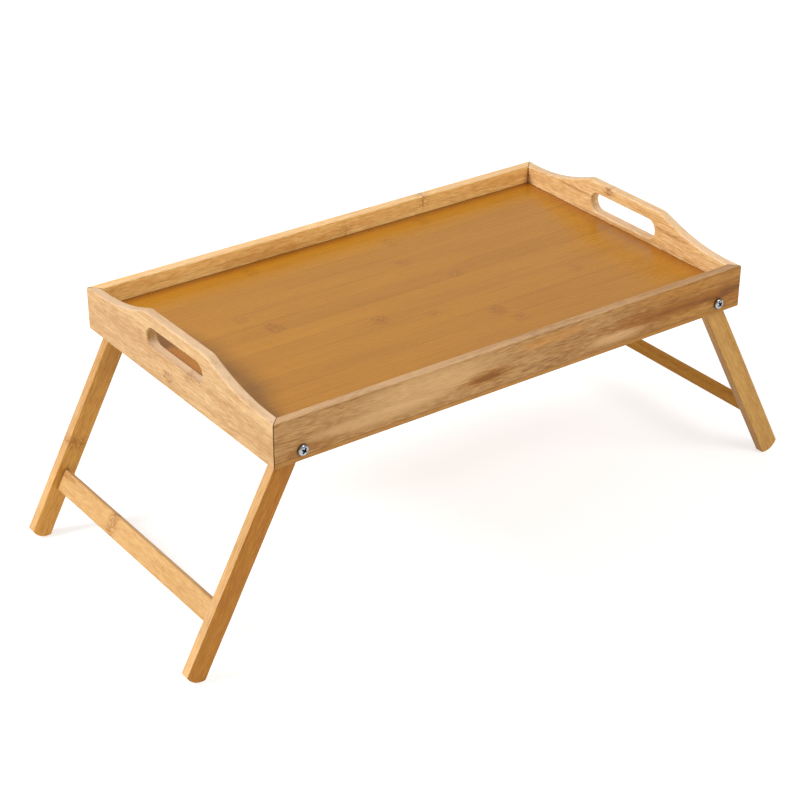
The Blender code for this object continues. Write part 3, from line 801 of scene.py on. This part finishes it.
def with_gaps(*sizes):
    """The sizes of a hollow that holds a piece of those sizes."""
    return [size + 2 * GAP for size in sizes]


def centre_frame(obj, offset):
    """Moves obj's origin by offset in its own frame, and leaves the piece where it is."""
    obj.data.transform(Matrix.Translation([-value for value in offset]))
    obj.matrix_world = obj.matrix_world @ Matrix.Translation(offset)


def bore_through(board, bodies):
    """Bores board along Y at the pivots of those leg frames."""
    reach = 1.0
    for body in bodies:
        profile = [(0, reach), (BORE_RADIUS, reach), (BORE_RADIUS, -reach), (0, -reach)]
        tool = turned("bore", profile, 32)
        tool.rotation_euler = (math.radians(90), 0, 0)
        tool.location = JOINTS[body]
        cut(board, tool)


def make_tray():
    key_places = {}
    for side, x_sign in SIDES.items():
        for row, y_sign in ROWS.items():
            node = "corner_key_" + row + "_" + side
            low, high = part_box(node)
            key_places[row, side] = ((low + high) / 2, -x_sign * y_sign * math.radians(45))
            paint(frame["nodes"][node], BAMBOO["corner_key"])

    for row, y_sign in ROWS.items():
        node = row + "_rail"
        right = [(TRAY_LENGTH / 2, 0), (TRAY_LENGTH / 2, RAIL_HEIGHT)]
        rail = flat_solid(node + "_piece", [right + [(-x, z) for x, z in reversed(right)]], BOARD)
        keys = [key_places[row, side] for side in SIDES]
        angle = 0 if y_sign < 0 else math.pi
        finish_board(rail, TRAY_LENGTH, angle, 0, y_sign * (TRAY_WIDTH - BOARD) / 2, keys)
        bore_through(rail, JOINTS)
        centre_frame(rail, (0, RAIL_HEIGHT / 2, 0))
        stand_in_for(rail, node, BAMBOO[node])

    for side, x_sign in SIDES.items():
        node = side + "_end_board"
        board = flat_solid(node + "_piece", [end_board_outline()], BOARD)
        keys = [key_places[row, side] for row in ROWS]
        angle = x_sign * math.pi / 2
        finish_board(board, TRAY_WIDTH, angle, x_sign * (TRAY_LENGTH - BOARD) / 2, 0, keys)
        slot = slot_tool()
        slot.matrix_world = board.matrix_world
        cut(board, slot)
        stand_in_for(board, node, BAMBOO[node])

    paint(frame["nodes"]["bottom_panel"], BAMBOO["bottom_panel"])


# ---------------------------------------------------------------- leg frames
def leg_outline():
    """A leg along +X from its pivot, with a half-round upper end and a flatter arc for a foot."""
    half_angle = math.degrees(math.asin(LEG_WIDTH / 2 / FOOT_RADIUS))
    foot = arc((PIVOT_TO_TIP - FOOT_RADIUS, 0), FOOT_RADIUS, -half_angle, half_angle, 24)
    return foot + arc((0, 0), LEG_WIDTH / 2, 90, 270, 32)


def leg_radius(edge):
    """Rounds the long rims of a leg that is drawn flat."""
    rim = on_rim(edge, LEG_THICKNESS / 2) or on_rim(edge, -LEG_THICKNESS / 2)
    return LEG_ROUND if rim and is_corner(edge) else 0


def bar_radius(edge):
    """Rounds a cross bar's long edges, and not those of its ends."""
    return BAR_ROUND if abs(edge.verts[0].co.x - edge.verts[1].co.x) > MERGE else 0


def make_legs():
    for side, x_sign in SIDES.items():
        pivot = JOINTS[side + "_leg_frame"]
        lean = Matrix.Translation(pivot) @ Matrix.Rotation(-x_sign * LEG_SPLAY, 4, "Y")
        for row, y_sign in ROWS.items():
            node = "leg_" + row + "_" + side
            low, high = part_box(node)
            leg = flat_solid(node + "_piece", [leg_outline()], LEG_THICKNESS)
            round_edges(leg, leg_radius)
            # X runs down the leg and +Z faces the front.
            leg.matrix_world = lean @ Matrix.Translation((0, (low.y + high.y) / 2, 0)) @ HANG
            bpy.context.view_layer.update()
            bore_through(leg, [side + "_leg_frame"])
            depth = TENON_LENGTH + GAP
            thick, tall = with_gaps(BAR_THICKNESS, TENON_HEIGHT)
            mortise = block("mortise", (thick, depth, tall))
            inner = high.y if y_sign < 0 else low.y
            place = (0, inner + y_sign * (depth / 2 - GAP), -PIVOT_TO_BAR)
            mortise.matrix_world = lean @ Matrix.Translation(place)
            cut(leg, mortise)
            stand_in_for(leg, node, BAMBOO[node])

        node = side + "_cross_bar"
        low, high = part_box(node)
        tip = high.y
        shoulder = tip - TENON_LENGTH
        # X runs along the bar, towards the front, and +Z faces out of the table's left end.
        bar = block(node + "_piece", (2 * tip, BAR_HEIGHT, BAR_THICKNESS))
        round_edges(bar, bar_radius)
        for end in (-1, 1):
            for edge in (-1, 1):
                notch = block("notch", (2 * TENON_LENGTH, BAR_HEIGHT - TENON_HEIGHT, 2 * BAR_THICKNESS))
                notch.location = (end * (shoulder + TENON_LENGTH), edge * BAR_HEIGHT / 2, 0)
                cut(bar, notch)
        across = Matrix.Rotation(math.radians(-90), 4, "Z") @ Matrix.Rotation(math.radians(90), 4, "X")
        bar.matrix_world = lean @ Matrix.Translation((0, 0, -PIVOT_TO_BAR)) @ across
        stand_in_for(bar, node, BAMBOO[node])


# ---------------------------------------------------------------- pivot hardware
def place_on_y(obj, x, y, z, outward):
    """Turns obj's own +Z to point along Y, by the sign of outward, and moves it there."""
    turn = Matrix.Rotation(-outward * math.radians(90), 4, "X")
    obj.matrix_world = Matrix.Translation((x, y, z)) @ turn
    bpy.context.view_layer.update()


def screw_profile(length):
    """A pan head with a rounded rim over a ridged shank with a blunt point, from the top down."""
    chamfer, point = 0.0003, 0.0005
    steps = 12
    profile = [(0, HEAD_HEIGHT)]
    for step in range(1, steps + 1):
        angle = math.radians(90 - 90 * step / steps)
        reach = HEAD_RADIUS * math.cos(angle)
        profile.append((reach, HEAD_HEIGHT - HEAD_DOME * (1 - math.sin(angle))))
    profile += [(HEAD_RADIUS, chamfer), (HEAD_RADIUS - chamfer, 0), (SHANK_RADIUS, 0)]
    height = -THREAD_START
    while height - THREAD_PITCH > point - length:
        profile.append((SHANK_RADIUS, height))
        profile.append((SHANK_RADIUS, height - 0.15 * THREAD_PITCH))
        profile.append((SHANK_RADIUS - THREAD_DEPTH, height - 0.55 * THREAD_PITCH))
        height -= THREAD_PITCH
    profile += [(SHANK_RADIUS - 0.0001, point - length), (SHANK_RADIUS - point, -length), (0, -length)]
    return profile


def recess_blade():
    """One tapered arm pair of the cross recess, with its point down."""
    mesh = bpy.data.meshes.new("blade")
    bm = bmesh.new()
    bmesh.ops.create_cone(
        bm, cap_ends=True, segments=4, depth=RECESS_DEPTH + GAP,
        radius1=RECESS_TIP * math.sqrt(2), radius2=RECESS_REACH * math.sqrt(2),
        matrix=Matrix.Diagonal((1, RECESS_THINNESS, 1, 1)) @ Matrix.Rotation(math.radians(45), 4, "Z"),
    )
    bm.to_mesh(mesh)
    bm.free()
    blade = new_object("blade", mesh)
    blade.location = (0, 0, HEAD_HEIGHT + (GAP - RECESS_DEPTH) / 2)
    return blade


def make_screw(node, x, y_sign, z):
    low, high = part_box(node)
    seat = y_sign * (max(abs(low.y), abs(high.y)) - HEAD_HEIGHT)
    length = (high.y - low.y) - HEAD_HEIGHT
    screw = turned(node + "_piece", screw_profile(length), TURNING_STEPS)
    for angle in (0, 90):
        blade = recess_blade()
        blade.rotation_euler = (0, 0, math.radians(angle))
        cut(screw, blade)
    # The cross widens into a small cone where its arms meet.
    core = turned("core", [(0, 0.0002), (0.0014, 0.0002), (0.0006, -0.0024), (0, -0.0026)], 24)
    core.location = (0, 0, HEAD_HEIGHT)
    cut(screw, core)
    bevel = screw.modifiers.new("Soften", "BEVEL")
    bevel.limit_method = "ANGLE"
    bevel.angle_limit = math.radians(50)
    bevel.width = 0.00006
    bevel.segments = 2
    place_on_y(screw, x, seat, z, y_sign)
    drive_turn = math.copysign(0.6, x)
    screw.matrix_world = screw.matrix_world @ Matrix.Rotation(drive_turn, 4, "Z")
    bpy.context.view_layer.update()
    stand_in_for(screw, node, SCREW_ZINC)


def make_nut(node, x, y_sign, z):
    """A hexagon with chamfered corners and a round collar, made by turning away what is outside it."""
    low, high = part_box(node)
    seat = y_sign * max(abs(low.y), abs(high.y))
    corner = NUT_FLATS / math.sqrt(3)
    top = NUT_HEIGHT + COLLAR_HEIGHT
    mesh = bpy.data.meshes.new(node)
    bm = bmesh.new()
    bmesh.ops.create_cone(
        bm, cap_ends=True, segments=6, radius1=corner, radius2=corner, depth=top,
        matrix=Matrix.Translation((0, 0, top / 2)),
    )
    bm.to_mesh(mesh)
    bm.free()
    nut = new_object(node + "_piece", mesh)
    flat = NUT_FLATS / 2
    wide = 1.02 * corner
    past = 0.0003  # how far the tools reach past the nut's ends
    outside = turned("outside", [
        (2 * flat - wide, -past), (wide, past), (wide, NUT_HEIGHT - 0.0006), (0.97 * flat, NUT_HEIGHT),
        (COLLAR_RADIUS, NUT_HEIGHT), (COLLAR_RADIUS, top - 0.0005),
        (COLLAR_RADIUS - past / 2, top - past / 2), (COLLAR_RADIUS - 0.00085, top + past / 2),
        (2 * corner, top + past / 2), (2 * corner, -past),
    ], TURNING_STEPS, closed=True)
    cut(nut, outside)
    bore = turned("bore", [
        (0, -top), (BORE_RADIUS, -top), (BORE_RADIUS, top - past),
        (BORE_RADIUS + 2 * past, top + past), (0, top + past),
    ], TURNING_STEPS)
    cut(nut, bore)
    place_on_y(nut, x, seat, z, -y_sign)
    stand_in_for(nut, node, NUT_ZINC)


def make_washer(node, x, y_sign, z, material):
    low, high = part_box(node)
    half = (high.y - low.y) / 2
    inner, outer, soft = BORE_RADIUS, WASHER_RADIUS, min(0.0002, half / 2)
    ring = turned(node + "_piece", [
        (inner, half - soft), (inner + soft, half), (outer - soft, half), (outer, half - soft),
        (outer, soft - half), (outer - soft, -half), (inner + soft, -half), (inner, soft - half),
    ], TURNING_STEPS, closed=True)
    place_on_y(ring, x, (low.y + high.y) / 2, z, y_sign)
    stand_in_for(ring, node, material)


def make_hardware():
    for side in SIDES:
        pivot = JOINTS[side + "_leg_frame"]
        for row, y_sign in ROWS.items():
            corner = row + "_" + side
            make_screw("pivot_screw_" + corner, pivot.x, y_sign, pivot.z)
            make_nut("lock_nut_" + corner, pivot.x, y_sign, pivot.z)
            make_washer("nut_washer_" + corner, pivot.x, y_sign, pivot.z, WASHER_ZINC)
            make_washer("spacer_washer_" + corner, pivot.x, y_sign, pivot.z, NYLON)


# ---------------------------------------------------------------- floor, light and camera
def make_floor():
    """A pale disk that glows a little, so that it stays white under soft light."""
    n = Nodes("floor_white")
    place = n.new("TexCoord", output="Object")
    cloud = n.noise(place, scale=3.0, detail=2.0)
    tint = n.mix(cloud, rgb(190, 190, 190), rgb(193, 193, 193))
    mesh = bpy.data.meshes.new("floor")
    bm = bmesh.new()
    bmesh.ops.create_circle(bm, cap_ends=True, radius=14.0, segments=96)
    bm.to_mesh(mesh)
    bm.free()
    floor = new_object("floor", mesh)
    glow = {"Specular IOR Level": 0.1, "Emission Color": tint, "Emission Strength": 1.22}
    floor.data.materials.append(n.finish(tint, 0.9, None, glow))


def area_light(name, place, size, power):
    """A round light that faces the middle of the table."""
    data = bpy.data.lights.new(name, "AREA")
    data.shape = "DISK"
    data.size = size
    data.energy = power
    light = new_object(name, data)
    light.location = place
    light.rotation_euler = (Vector((0, 0, 0.15)) - Vector(place)).to_track_quat("-Z", "Y").to_euler()


def make_light():
    world = bpy.data.worlds.new("studio")
    world.use_nodes = True
    background = world.node_tree.nodes["Background"]
    background.inputs["Color"].default_value = (1.0, 1.0, 1.0, 1.0)
    background.inputs["Strength"].default_value = 0.52
    bpy.context.scene.world = world
    area_light("key", place=(-2.2, 0.9, 2.0), size=1.0, power=84)
    area_light("front", place=(0.9, -2.6, 2.4), size=2.0, power=54)


def make_camera():
    """A long lens in front of the table's left end, looking down on the tray."""
    data = bpy.data.cameras.new("camera")
    data.sensor_width = 36.0
    data.lens = 92.42
    camera = new_object("camera", data)
    camera.location = (-0.9803, -1.3243, RAIL_BOTTOM + 0.8253)
    camera.rotation_euler = [math.radians(angle) for angle in (61.0646, -0.1719, -35.8750)]
    bpy.context.scene.camera = camera


def main():
    make_camera()
    make_tray()
    make_legs()
    make_hardware()
    make_floor()
    make_light()
    bpy.context.scene.view_settings.view_transform = "Standard"


main()
